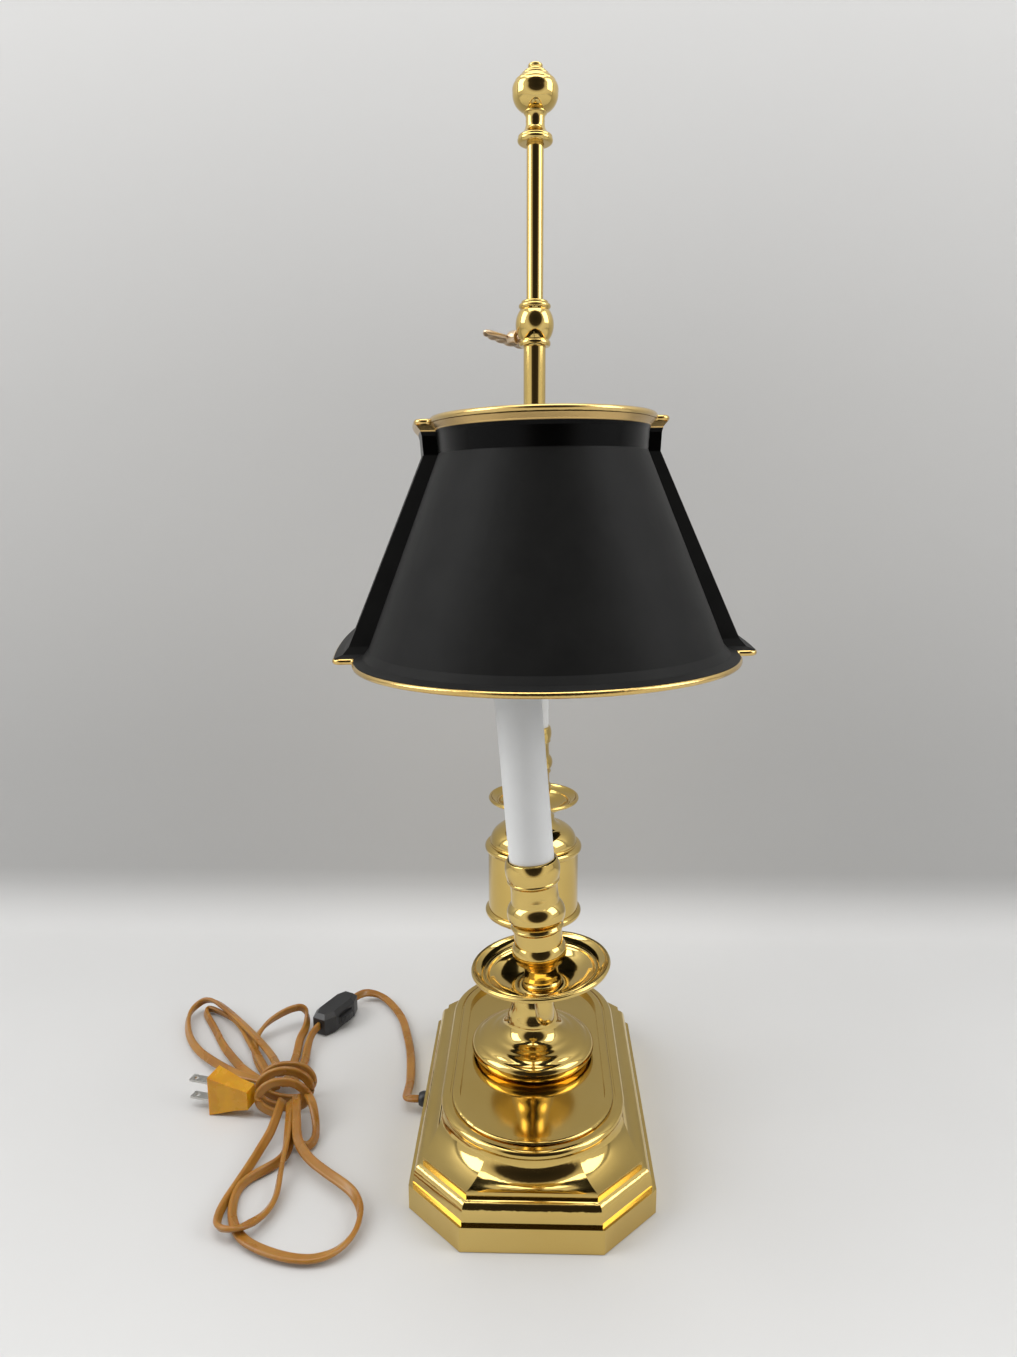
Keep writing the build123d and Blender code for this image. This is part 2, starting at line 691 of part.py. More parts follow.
# ---------------------------------------------------------------- sliding collar, tube and key
def slide_collar():
    bore = ROD_RADIUS + SLIDE_PLAY
    low = COLLAR_BOTTOM + COLLAR_BOTTOM_RING
    high = COLLAR_TOP - COLLAR_TOP_RING
    neck = COLLAR_RING_RADIUS - 0.9
    socket = COLLAR_BOTTOM + TUBE_IN_COLLAR
    collar = turned(
        (TUBE_RADIUS, COLLAR_BOTTOM),
        (COLLAR_RING_RADIUS - 0.6, COLLAR_BOTTOM),
        (COLLAR_RING_RADIUS - 0.6, low - 0.5, 0.6),
        (neck, low),
        (neck, high, COLLAR_RADIUS - neck),
        (COLLAR_RING_RADIUS - 0.6, high + 0.5),
        (COLLAR_RING_RADIUS - 0.6, high + 3.0, 0.6),
        (COLLAR_RING_RADIUS - 1.6, high + 3.4),
        (COLLAR_RING_RADIUS - 2.4, COLLAR_TOP, 0.4),
        (bore, COLLAR_TOP),
        (bore, socket),
        (TUBE_RADIUS, socket),
    )
    key_hole = Pos(0, 0, KEY_Z) * Rot(Z=KEY_BEARING) * Rot(Y=90) * rod(KEY_STEM_RADIUS + KEY_PLAY, 0, 2 * COLLAR_RADIUS)
    return collar - key_hole


def slide_tube():
    top = COLLAR_BOTTOM + TUBE_IN_COLLAR
    tube = pipe(TUBE_RADIUS, TUBE_BORE, TUBE_BOTTOM, top)
    flange = pipe(TUBE_FLANGE_RADIUS, TUBE_BORE, TUBE_BOTTOM, TUBE_BOTTOM + TUBE_FLANGE_THICKNESS)
    key_hole = Pos(0, 0, KEY_Z) * Rot(Z=KEY_BEARING) * Rot(Y=90) * rod(KEY_STEM_RADIUS + KEY_PLAY, 0, 2 * COLLAR_RADIUS)
    return tube + flange - key_hole


def thumb_key():
    """Thumb screw: a stem, a boss and a flat scalloped wing. Built along +Z, then laid on its bearing."""
    tip = ROD_RADIUS + SLIDE_PLAY
    stem = rod(KEY_STEM_RADIUS, tip, KEY_WING_FROM + 2)
    boss = turned(
        (0, KEY_BOSS_FROM),
        (KEY_BOSS_RADIUS - 0.7, KEY_BOSS_FROM),
        (KEY_BOSS_RADIUS - 0.7, KEY_WING_FROM + 2, 0.7),
        (0, KEY_WING_FROM + 2),
    )
    outer = KEY_WING_FROM + KEY_WING_DEPTH
    wing = None
    for side in (1, -1):
        for index in range(KEY_SCALLOPS):
            share = (index + 0.5) / KEY_SCALLOPS
            reach = KEY_HALF_SPAN * share
            height = outer - 3.0 + 1.8 * share - 7.5 * share ** 4
            lobe = Pos(side * reach, height) * Circle(3.0 - 0.5 * share)
            wing = lobe if wing is None else wing + lobe
        web = make_face(Polyline(
            (0, KEY_WING_FROM - 0.5), (side * KEY_HALF_SPAN * 0.75, outer - 6.5),
            (side * KEY_HALF_SPAN * 0.9, outer - 4.5), (side * KEY_HALF_SPAN * 0.5, outer - 1.5),
            (0, outer - 2.0), close=True,
        ))
        wing += web
    plate = extrude(Plane.XZ * wing, KEY_WING_THICKNESS / 2, both=True)
    key = stem + boss + plate
    return Pos(0, 0, KEY_Z) * Rot(Z=KEY_BEARING) * Rot(Y=90) * Rot(Z=90 + KEY_ROLL) * key


# ---------------------------------------------------------------- shade
def shade_outline(share, grow, z):
    """The shade's plan: share 0 is its foot and 1 its top; grow moves the outline out or in."""
    def between(bottom, top):
        return bottom + share * (top - bottom)

    ear_x = between(EAR_X_BOTTOM, EAR_X_TOP) + grow
    lobe_x = between(LOBE_X_BOTTOM, LOBE_X_TOP) + grow
    lobe_y = between(LOBE_Y_BOTTOM, LOBE_Y_TOP) + grow
    ear_y = between(EAR_Y_BOTTOM, EAR_Y_TOP) + grow
    edges = []
    for side in (1, -1):
        start = 270 if side > 0 else 90
        lobe = EllipticalCenterArc(
            (side * ear_x, 0), lobe_x - ear_x, lobe_y, start_angle=start, arc_size=180
        )
        rise = Line((side * ear_x, side * lobe_y), (side * ear_x, side * ear_y))
        panel = ThreePointArc(
            (side * ear_x, side * ear_y), (0, side * (ear_y + SIDE_BOW)), (-side * ear_x, side * ear_y)
        )
        fall = Line((-side * ear_x, side * ear_y), (-side * ear_x, side * lobe_y))
        edges += [lobe, rise, panel, fall]
    return Pos(0, 0, z) * make_face(edges)


def shade_skin(inset):
    """The shade's filled form, moved in by inset."""
    foot = SHADE_BOTTOM + BEAD_RADIUS
    head = SHADE_TOP - BEAD_RADIUS
    lip_share = LIP_DEPTH / (SHADE_CREASE - SHADE_BOTTOM)
    top_lip = head - TOP_LIP_DEPTH
    sections = [
        shade_outline(0, LIP_FLARE - inset, foot),
        shade_outline(lip_share * 0.45, LIP_FLARE * 0.35 - inset, SHADE_BOTTOM + LIP_DEPTH * 0.45),
        shade_outline(lip_share, -inset, SHADE_BOTTOM + LIP_DEPTH),
        shade_outline(1, -inset, SHADE_CREASE),
        shade_outline(1, 0.5 - inset, top_lip),
        shade_outline(1, TOP_FLARE * 0.4 - inset, top_lip + TOP_LIP_DEPTH * 0.55),
        shade_outline(1, TOP_FLARE - inset, head),
    ]
    return loft(sections, ruled=True)


def leaning(piece):
    """The shade hangs turned and slightly tilted on its tube."""
    centre = Pos(0, 0, spider_z())
    return centre * Rot(Z=SHADE_TURN) * Rot(X=-SHADE_TILT) * centre.inverse() * piece


def spider_z():
    return TUBE_BOTTOM + TUBE_FLANGE_THICKNESS + SPIDER_LIFT + SPIDER_THICKNESS / 2


def shade_body():
    outside = shade_skin(0)
    inside = shade_skin(SHADE_WALL)
    return leaning(outside - inside)


def shade_bead(share, grow, z):
    """Brass wire rolled round the shade's edge."""
    plan = shade_outline(share, grow - SHADE_WALL / 2, z)
    outline = fillet(plan.vertices(), BEAD_BEND).faces()[0].outer_wire()
    section = Plane(origin=outline @ 0, z_dir=outline % 0) * Circle(BEAD_RADIUS)
    return leaning(sweep(section, path=outline))


def spider():
    z = spider_z()
    ring = pipe(SPIDER_RING_RADIUS, TUBE_RADIUS + SPIDER_PLAY, z - SPIDER_THICKNESS / 2, z + SPIDER_THICKNESS / 2)
    arms = Pos(0, 0, z) * Box(SPIDER_ARM_WIDTH, 3 * EAR_Y_TOP, SPIDER_THICKNESS)
    arms -= rod(SPIDER_RING_RADIUS - 0.5, z - SPIDER_THICKNESS, z + SPIDER_THICKNESS)
    cross = (ring + arms) & shade_skin(SHADE_WALL)
    return leaning(cross)


def spider_nut():
    bottom = spider_z() + SPIDER_THICKNESS / 2 + SPIDER_LIFT
    return hex_nut(SPIDER_NUT_ACROSS, TUBE_RADIUS, bottom, SPIDER_NUT_HEIGHT)


# ---------------------------------------------------------------- cord, switch and plug
def cord_bushing():
    wall_in = BASE_WIDTH / 2 - BASE_WALL
    out = BASE_WIDTH / 2 + BUSHING_OUT
    inner = wall_in - BUSHING_IN
    barrel = turned(
        (0, inner),
        (BUSHING_COLLAR, inner),
        (BUSHING_COLLAR, wall_in),
        (BUSHING_RADIUS, wall_in),
        (BUSHING_RADIUS, BASE_WIDTH / 2),
        (BUSHING_HEAD, BASE_WIDTH / 2),
        (BUSHING_HEAD - 1.2, out, 0.5),
        (0, out),
    )
    return Pos(0, 0, BUSHING_Z) * Rot(X=-90) * barrel


def switch_place(piece):
    return Pos(SWITCH_CENTRE[0], SWITCH_CENTRE[1], 0) * Rot(Z=SWITCH_BEARING) * piece


def switch_shell():
    """Outer form of the in-line switch, lying along X: a lozenge with narrowed ends."""
    half = SWITCH_LENGTH / 2
    wide = SWITCH_WIDTH / 2
    neck = SWITCH_NECK / 2
    outline = make_face(Polyline(
        (-half, -neck), (-half * 0.55, -wide), (half * 0.55, -wide), (half, -neck),
        (half, neck), (half * 0.55, wide), (-half * 0.55, wide), (-half, neck), close=True,
    ))
    shell = extrude(outline, SWITCH_HEIGHT)
    shell = chamfer(shell.edges().group_by(Axis.Z)[-1], 3)
    return chamfer(shell.edges().group_by(Axis.Z)[0], 2)


def wheel_centre():
    return Pos(0, WHEEL_OFFSET, SWITCH_HEIGHT / 2)


def switch_half(low, high):
    """One half of the switch's casing, with the wheel's slot and the cord's way cut out of it."""
    slab = Pos(0, 0, (low + high) / 2) * Box(2 * SWITCH_LENGTH, 2 * SWITCH_LENGTH, high - low)
    slot = wheel_centre() * Cylinder(WHEEL_RADIUS + WHEEL_PLAY, WHEEL_THICKNESS + 2 * WHEEL_PLAY)
    axle = Pos(0, WHEEL_OFFSET, SWITCH_HEIGHT / 2) * Cylinder(2.05, SWITCH_HEIGHT - 2 * SWITCH_WALL)
    screw = Pos(0, -SWITCH_WIDTH / 2 + 2.6, 0) * rod(1.3, 0, SWITCH_HEIGHT - SWITCH_WALL)
    return switch_place((switch_shell() & slab) - slot - axle - screw)


def switch_base():
    return switch_half(0, SWITCH_HEIGHT / 2)


def switch_cover():
    return switch_half(SWITCH_HEIGHT / 2, SWITCH_HEIGHT)


def switch_wheel():
    """Knurled thumb wheel on its axle."""
    disc = Cylinder(WHEEL_RADIUS, WHEEL_THICKNESS)
    for index in range(WHEEL_TEETH):
        notch = Rot(Z=index * 360 / WHEEL_TEETH) * Pos(WHEEL_RADIUS + 0.5, 0, 0) * Cylinder(1.0, 2 * WHEEL_THICKNESS)
        disc -= notch
    axle = Cylinder(2.0, SWITCH_HEIGHT - 2 * SWITCH_WALL - 0.2)
    return switch_place(wheel_centre() * (disc + axle))


def switch_screw():
    z = SWITCH_HEIGHT - SWITCH_WALL
    shank = rod(1.25, 0.4, z - 0.1)
    head = rod(1.25, 0.4, 1.0)
    return switch_place(Pos(0, -SWITCH_WIDTH / 2 + 2.6, 0) * (shank + head))


def plug_place(piece):
    """Lays a piece built along +Z with its width along X: the plug lies on its narrow edge."""
    back = Pos(PLUG_BACK[0], PLUG_BACK[1], PLUG_WIDTH / 2)
    return back * Rot(Z=PLUG_BEARING) * Rot(Y=90) * piece


def plug_body():
    neck = Pos(0, 0, 0) * Rectangle(PLUG_NECK_WIDTH, PLUG_NECK_THICKNESS)
    waist = Pos(0, 0, PLUG_LENGTH * 0.35) * Rectangle(PLUG_NECK_WIDTH + 4, PLUG_NECK_THICKNESS + 1)
    face = Pos(0, 0, PLUG_LENGTH) * Rectangle(PLUG_WIDTH, PLUG_THICKNESS)
    body = loft([neck, waist, face], ruled=True)
    return plug_place(body)


def plug_blades():
    blades = []
    for side in (1, -1):
        blade = Pos(side * BLADE_SPACING / 2, 0, PLUG_LENGTH + BLADE_LENGTH / 2)
        blade *= Box(BLADE_THICKNESS, BLADE_WIDTH, BLADE_LENGTH)
        hole = Pos(side * BLADE_SPACING / 2, 0, PLUG_LENGTH + BLADE_LENGTH - 4)
        hole *= Rot(Y=90) * Cylinder(BLADE_HOLE_RADIUS, 4 * BLADE_THICKNESS)
        blades.append(plug_place(blade - hole))
    return Compound(children=[b for piece in blades for b in piece.solids()])


def switch_end(side, out):
    """Where the cord meets the switch: side -1 is the lead's end; out is the distance from the end face."""
    reach = side * (SWITCH_LENGTH / 2 + out)
    x = SWITCH_CENTRE[0] + reach * cos(radians(SWITCH_BEARING))
    y = SWITCH_CENTRE[1] + reach * sin(radians(SWITCH_BEARING))
    return x, y, SWITCH_HEIGHT / 2


def cord_lead():
    return cord_along([*LEAD_ROUTE, switch_end(-1, LEAD_APPROACH), switch_end(-1, 0)], "cord_lead")


def cord_tail():
    face = KNOT_CENTRE[0] + KNOT_LENGTH / 2
    last = [(face + TAIL_APPROACH, TAIL_END_Y, TAIL_END_Z), (face, TAIL_END_Y, TAIL_END_Z)]
    return cord_along([switch_end(1, 0), switch_end(1, TAIL_APPROACH), *TAIL_ROUTE, *last], "cord_tail")


def cord_knot():
    """Outer shape of the turns that tie the bundle, a flattened barrel with its axis along X."""
    barrel = extrude(RectangleRounded(KNOT_HEIGHT, KNOT_WIDTH, KNOT_ROUND), KNOT_LENGTH / 2, both=True)
    ends = barrel.edges().group_by(Axis.Z)
    barrel = chamfer(ends[0] + ends[-1], KNOT_BEVEL)
    return Pos(KNOT_CENTRE[0], KNOT_CENTRE[1], KNOT_HEIGHT / 2) * Rot(Y=90) * barrel


def pad(points, thickness):
    """Outer shape of a spread of flat-lying loops, on the table."""
    outline = Spline(*points, periodic=True)
    return extrude(make_face(outline), thickness)


def cord_loops_back():
    points = [
        (8, 178), (28, 176), (54, 182), (84, 208), (112, 240), (142, 272), (128, 284), (84, 274),
        (48, 248), (28, 214),
    ]
    return pad(points, 11) - cord_knot()


def cord_loops_front():
    points = [
        (-2, 170), (-30, 146), (-62, 124), (-100, 94), (-132, 106), (-138, 140), (-122, 170), (-98, 188),
        (-48, 184),
    ]
    return pad(points, 11) - cord_knot()


# ---------------------------------------------------------------- the parts
PARTS = {
    "base_shell": base_shell,
    "base_felt": base_felt,
    "base_board": base_board,
    "base_weight": base_weight,
    "base_washer": base_washer,
    "base_nut": base_nut,
    "center_pipe": center_pipe,
    "column_foot": column_foot,
    "column_stem": column_stem,
    "drum_pan": drum_pan,
    "drum_body": drum_body,
    "drum_lid": drum_lid,
    "guide_rod": guide_rod,
    "finial": finial,
    "slide_collar": slide_collar,
    "slide_tube": slide_tube,
    "thumb_key": thumb_key,
    "spider": spider,
    "spider_nut": spider_nut,
    "shade_body": shade_body,
    "shade_bottom_bead": lambda: shade_bead(0, LIP_FLARE, SHADE_BOTTOM),
    "shade_top_bead": lambda: shade_bead(1, TOP_FLARE, SHADE_TOP),
    "cord_bushing": cord_bushing,
    "cord_lead": cord_lead,
    "cord_tail": cord_tail,
    "cord_knot": cord_knot,
    "cord_loops_back": cord_loops_back,
    "cord_loops_front": cord_loops_front,
    "switch_base": switch_base,
    "switch_cover": switch_cover,
    "switch_wheel": switch_wheel,
    "switch_screw": switch_screw,
    "plug_body": plug_body,
    "plug_blades": plug_blades,
}
ARM_PARTS = {
    "arm": arm,
    "arm_nut": arm_nut,
    "drip_pan": drip_pan,
    "candle_cup": candle_cup,
    "candle_sleeve": candle_sleeve,
    "candle_nipple": candle_nipple,
    "lampholder": lampholder,
    "bulb_base": bulb_base,
    "bulb": bulb,
}


def main():
    os.makedirs("parts", exist_ok=True)
    for name, make in PARTS.items():
        export_step(make(), f"parts/{name}.step")
    for name, make in ARM_PARTS.items():
        for place, side in (("front", -1), ("back", 1)):
            export_step(make(side), f"parts/{name}_{place}.step")


main()
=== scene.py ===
import json
from math import atan2, cos, pi, radians, sin

import bmesh
import bpy
from mathutils import Matrix, Vector


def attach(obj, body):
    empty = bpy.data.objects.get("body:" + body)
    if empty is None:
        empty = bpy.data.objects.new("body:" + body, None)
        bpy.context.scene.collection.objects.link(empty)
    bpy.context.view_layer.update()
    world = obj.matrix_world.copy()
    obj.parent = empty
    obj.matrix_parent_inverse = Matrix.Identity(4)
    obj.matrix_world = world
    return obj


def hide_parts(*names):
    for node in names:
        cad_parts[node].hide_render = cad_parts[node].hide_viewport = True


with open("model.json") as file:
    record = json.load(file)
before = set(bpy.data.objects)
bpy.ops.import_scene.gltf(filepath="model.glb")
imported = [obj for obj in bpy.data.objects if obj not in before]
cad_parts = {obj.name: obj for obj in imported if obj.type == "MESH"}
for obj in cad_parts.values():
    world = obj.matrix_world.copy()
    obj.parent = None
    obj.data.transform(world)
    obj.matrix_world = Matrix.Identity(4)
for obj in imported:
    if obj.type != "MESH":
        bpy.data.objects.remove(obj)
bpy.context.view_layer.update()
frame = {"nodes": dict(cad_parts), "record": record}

NODES = frame["nodes"]

# ---------------------------------------------------------------- camera
IMAGE_WIDTH = 1017  # pixels
FOCAL_LENGTH = 941  # pixels
SENSOR = 36  # mm
EYE = Vector((-0.5666, -0.00096, 0.4108))

yaw, pitch, roll = radians(1.661), radians(11.098), radians(-0.143)
forward = Vector((cos(yaw) * cos(pitch), sin(yaw) * cos(pitch), -sin(pitch)))
level = Vector((sin(yaw), -cos(yaw), 0))
upright = level.cross(forward)
right = level * cos(roll) + upright * sin(roll)
up = upright * cos(roll) - level * sin(roll)
camera_data = bpy.data.cameras.new("camera")
camera_data.sensor_fit = "HORIZONTAL"
camera_data.sensor_width = SENSOR
camera_data.lens = FOCAL_LENGTH / IMAGE_WIDTH * SENSOR
camera_data.clip_start = 0.01
camera = bpy.data.objects.new("camera", camera_data)
bpy.context.scene.collection.objects.link(camera)
camera.matrix_world = Matrix((
    (right.x, up.x, -forward.x, EYE.x),
    (right.y, up.y, -forward.y, EYE.y),
    (right.z, up.z, -forward.z, EYE.z),
    (0, 0, 0, 1),
))
bpy.context.scene.camera = camera
bpy.context.scene.view_settings.view_transform = "Standard"


# ---------------------------------------------------------------- helpers
BUMP_DEPTH = 0.0005
DETAIL = 6


def link(name, mesh):
    """A new object with mesh, in the scene."""
    piece = bpy.data.objects.new(name, mesh)
    bpy.context.scene.collection.objects.link(piece)
    return piece


def material(name):
    """A new material, with its nodes, its links and its shader."""
    made = bpy.data.materials.new(name)
    made.use_nodes = True
    nodes = made.node_tree.nodes
    return made, nodes, made.node_tree.links, nodes["Principled BSDF"]


def noise(nodes, links, scale, stretch=(1, 1, 1)):
    """Noise in object space, stretched by stretch."""
    place = nodes.new("ShaderNodeTexCoord")
    mapping = nodes.new("ShaderNodeMapping")
    mapping.inputs["Scale"].default_value = stretch
    texture = nodes.new("ShaderNodeTexNoise")
    texture.inputs["Scale"].default_value = scale
    texture.inputs["Detail"].default_value = DETAIL
    links.new(place.outputs["Object"], mapping.inputs["Vector"])
    links.new(mapping.outputs["Vector"], texture.inputs["Vector"])
    return texture


def ramp(nodes, links, source, stops):
    """Colour ramp over a factor; stops are (position, colour)."""
    made = nodes.new("ShaderNodeValToRGB")
    elements = made.color_ramp.elements
    for element, (position, colour) in zip(elements, stops[:2]):
        element.position = position
        element.color = (*colour, 1)
    for position, colour in stops[2:]:
        elements.new(position).color = (*colour, 1)
    links.new(source, made.inputs["Fac"])
    return made


def bump(nodes, links, shader, height, strength):
    """Fine relief on the shader's surface."""
    made = nodes.new("ShaderNodeBump")
    made.inputs["Strength"].default_value = strength
    made.inputs["Distance"].default_value = BUMP_DEPTH
    links.new(height, made.inputs["Height"])
    links.new(made.outputs["Normal"], shader.inputs["Normal"])


def plain(name, dark, light, scale, metallic, rough, bumps, stretch=(1, 1, 1), **sockets):
    """A surface whose colour and roughness wander between two values each."""
    made, nodes, links, shader = material(name)
    texture = noise(nodes, links, scale, stretch)
    colours = ramp(nodes, links, texture.outputs["Fac"], [(0.3, dark), (0.7, light)])
    links.new(colours.outputs["Color"], shader.inputs["Base Color"])
    spread = nodes.new("ShaderNodeMapRange")
    spread.inputs["To Min"].default_value = rough[0]
    spread.inputs["To Max"].default_value = rough[1]
    links.new(texture.outputs["Fac"], spread.inputs["Value"])
    links.new(spread.outputs["Result"], shader.inputs["Roughness"])
    shader.inputs["Metallic"].default_value = metallic
    for socket, value in sockets.items():
        shader.inputs[socket.replace("_", " ")].default_value = value
    if bumps:
        bump(nodes, links, shader, texture.outputs["Fac"], bumps)
    return made


# ---------------------------------------------------------------- materials
brass = plain("brass", (0.65, 0.455, 0.135), (0.71, 0.525, 0.19), 9, 1, (0.07, 0.12), 0.02)
gilt = plain("gilt", (0.64, 0.43, 0.14), (0.74, 0.53, 0.21), 30, 1, (0.14, 0.24), 0.05)


# The shade's own upright direction, and heights along it, in metres.
SHADE_UP = (-0.00082, 0.01569, 0.99988)
CREASE = (0.4305, 0.4313)
LIP = (0.4422, 0.4426)
SATIN, GLOSS = 0.5, 0.26
# A colour Mix node has its sockets for A, B and the result at these places.
MIX_A, MIX_B, MIX_RESULT = 6, 7, 2


def above(nodes, links, height, edge):
    """0 below the edge and 1 above it; edge is the lowest and highest height of the change."""
    made = nodes.new("ShaderNodeMapRange")
    made.inputs["From Min"].default_value, made.inputs["From Max"].default_value = edge
    links.new(height, made.inputs["Value"])
    return made.outputs["Result"]


def tinted(nodes, links, colour, tint, share):
    """colour where share is 0, and tint where it is 1."""
    made = nodes.new("ShaderNodeMix")
    made.data_type = "RGBA"
    made.inputs[MIX_B].default_value = (*tint, 1)
    links.new(share, made.inputs["Factor"])
    links.new(colour, made.inputs[MIX_A])
    return made.outputs[MIX_RESULT]


def painted_metal():
    """The shade's paint: satin below the crease; above it glossy, with painted shade that darkens it to near
    black for a dark reflection; gilt under the top wire.
    """
    made, nodes, links, shader = material("tole")
    texture = noise(nodes, links, 60)
    place = nodes.new("ShaderNodeTexCoord")
    height = nodes.new("ShaderNodeVectorMath")
    height.operation = "DOT_PRODUCT"
    height.inputs[1].default_value = SHADE_UP
    links.new(place.outputs["Object"], height.inputs[0])
    # share above the crease: there the paint is glossier and its colour is darkened as painted shade
    gloss_and_painted_shade = above(nodes, links, height.outputs["Value"], CREASE)
    lip = above(nodes, links, height.outputs["Value"], LIP)
    satin = ramp(nodes, links, texture.outputs["Fac"], [
        (0.3, (0.010, 0.010, 0.0098)), (0.7, (0.013, 0.013, 0.0126)),
    ])
    # painted shade: above the crease the colour goes near black, a painted dark reflection
    colour = tinted(nodes, links, satin.outputs["Color"], (0.0006, 0.0006, 0.0006), gloss_and_painted_shade)
    colour = tinted(nodes, links, colour, (0.66, 0.45, 0.18), lip)
    links.new(colour, shader.inputs["Base Color"])
    gloss = nodes.new("ShaderNodeMapRange")
    gloss.inputs["To Min"].default_value = SATIN
    gloss.inputs["To Max"].default_value = GLOSS
    links.new(gloss_and_painted_shade, gloss.inputs["Value"])
    links.new(gloss.outputs["Result"], shader.inputs["Roughness"])
    links.new(lip, shader.inputs["Metallic"])
    shader.inputs["Specular IOR Level"].default_value = 0.1
    bump(nodes, links, shader, texture.outputs["Fac"], 0.05)
    return made


tole = painted_metal()
sleeve = plain("sleeve", (0.74, 0.75, 0.75), (0.80, 0.81, 0.81), 25, 0, (0.35, 0.5), 0.03)
steel = plain("steel", (0.42, 0.42, 0.42), (0.6, 0.6, 0.6), 60, 1, (0.3, 0.45), 0.1)
nickel = plain("nickel", (0.50, 0.49, 0.46), (0.68, 0.67, 0.64), 80, 1, (0.22, 0.35), 0.1)
iron = plain("iron", (0.05, 0.05, 0.05), (0.12, 0.11, 0.10), 90, 0.6, (0.6, 0.8), 0.8)
felt = plain("felt", (0.02, 0.07, 0.03), (0.05, 0.14, 0.07), 900, 0, (0.9, 1.0), 1.0)
board = plain("board", (0.25, 0.17, 0.09), (0.40, 0.28, 0.16), 20, 0, (0.6, 0.8), 0.3, (1, 12, 12))
porcelain = plain("porcelain", (0.78, 0.77, 0.72), (0.86, 0.85, 0.81), 40, 0, (0.12, 0.2), 0.02)
black = plain("black", (0.012, 0.012, 0.013), (0.022, 0.022, 0.023), 150, 0, (0.32, 0.45), 0.12)
glass = plain(
    "glass", (0.9, 0.9, 0.88), (0.95, 0.95, 0.93), 20, 0, (0.3, 0.4), 0, Transmission_Weight=0.7, IOR=1.45,
)
vinyl = plain(
    "vinyl", (0.30, 0.125, 0.016), (0.44, 0.21, 0.034), 35, 0, (0.22, 0.34), 0.05,
    Subsurface_Weight=0.35, Subsurface_Scale=0.002, IOR=1.5,
)
plug_vinyl = plain(
    "plug_vinyl", (0.55, 0.24, 0.004), (0.75, 0.38, 0.008), 60, 0, (0.2, 0.34), 0.1,
    Subsurface_Weight=0.4, Subsurface_Scale=0.003, IOR=1.5,
)
key_brass = plain("key_brass", (0.66, 0.50, 0.33), (0.76, 0.60, 0.42), 60, 1, (0.26, 0.38), 0.15)
FINISH = {
    "brass_polished": brass, "gilt_wire": gilt, "shade_black": tole, "sleeve_white": sleeve,
    "steel": steel, "nickel": nickel, "iron": iron, "felt_green": felt, "board": board,
    "porcelain": porcelain, "black_plastic": black, "bulb_glass": glass, "cord_gold": vinyl,
}
for part in frame["record"]["subparts"]:
    node = NODES[part["node"]]
    node.data.materials.clear()
    node.data.materials.append(FINISH[part["material_slot"]])
NODES["plug_body"].data.materials[0] = plug_vinyl


# ---------------------------------------------------------------- turned pieces
ARC_STEP = radians(6)
SIDES = 128
KEY_SIDES = 48
MERGED = 0.000002
MM = 1000


def arc(start, end, bulge):
    """Points from start to end along an arc that stands out by bulge, or along a line."""
    if not bulge:
        return [end]
    chord = end - start
    out = Vector((chord.y, -chord.x)).normalized()
    radius = (chord.length_squared / 4 + bulge ** 2) / (2 * bulge)
    centre = (start + end) / 2 + out * (bulge - radius)
    first = atan2(start.y - centre.y, start.x - centre.x)
    last = atan2(end.y - centre.y, end.x - centre.x)
    turn = (last - first + pi) % (2 * pi) - pi
    count = max(4, int(abs(turn) / ARC_STEP))
    angles = [first + turn * step / count for step in range(1, count + 1)]
    return [centre + abs(radius) * Vector((cos(angle), sin(angle))) for angle in angles]


def lathe(work, steps, place=Matrix(), sides=SIDES):
    """Turns a closed profile of (radius, height) or (radius, height, bulge), in mm, round the Z axis."""
    points = [Vector(steps[0][:2])]
    for radius, height, *bulge in steps[1:]:
        points += arc(points[-1], Vector((radius, height)), bulge[0] if bulge else 0)
    made = []
    rings = []
    for radius, height in points:
        ring = []
        for side in range(sides):
            angle = 2 * pi * side / sides
            spot = Vector((radius * cos(angle), radius * sin(angle), height)) / MM
            ring.append(work.verts.new(place @ spot))
        rings.append(ring)
        made += ring
    for first, second in zip(rings, rings[1:] + rings[:1]):
        for side in range(sides):
            after = (side + 1) % sides
            work.faces.new((first[side], first[after], second[after], second[side])).smooth = True
    bmesh.ops.remove_doubles(work, verts=made, dist=MERGED)


def to_mesh(name, work):
    """The mesh of work, with its faces outwards."""
    bmesh.ops.recalc_face_normals(work, faces=work.faces)
    mesh = bpy.data.meshes.new(name)
    work.to_mesh(mesh)
    work.free()
    return mesh


def brass_piece(name, work, finish, node, body, sharp):
    """Turns work into a piece that stands for node and rides on body; edges over sharp degrees stay crisp."""
    mesh = to_mesh(name, work)
    mesh.set_sharp_from_angle(angle=radians(sharp))
    mesh.materials.append(finish)
    piece = link(name, mesh)
    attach(piece, body)
    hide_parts(node)


def turned_piece(name, node, steps, place=Matrix()):
    work = bmesh.new()
    lathe(work, steps, place)
    brass_piece(name, work, brass, node, "lamp", 32)


FOOT = [
    (4.95, 48.3), (36.0, 48.3), (40.1, 54.0, 1.2), (36.0, 59.0, 1.2), (29.0, 62.2, 0.7), (25.0, 63.8, -0.2),
    (16.5, 74.0, -2.4), (13.5, 86.0, -0.5), (9.6, 104.0, -0.8), (4.95, 104.0),
]
PAN = [
    (4.95, 168.0), (10.6, 168.0), (12.0, 168.5), (19.0, 170.5, -0.5), (25.2, 174.9, -0.5), (27.8, 176.4, 0.5),
    (33.6, 178.6, -0.2), (34.4, 179.4, 0.3), (34.5, 180.9, 0.4), (33.6, 181.5, 0.35), (32.8, 181.0, 0.2),
    (28.5, 178.3, -0.5), (27.5, 178.6, 0.25), (26.5, 177.6, 0.2), (25.4, 176.2, -0.2), (19.0, 171.9, -0.5),
    (12.0, 170.2, -0.4), (10.0, 170.9, 0.2), (4.95, 170.9),
]
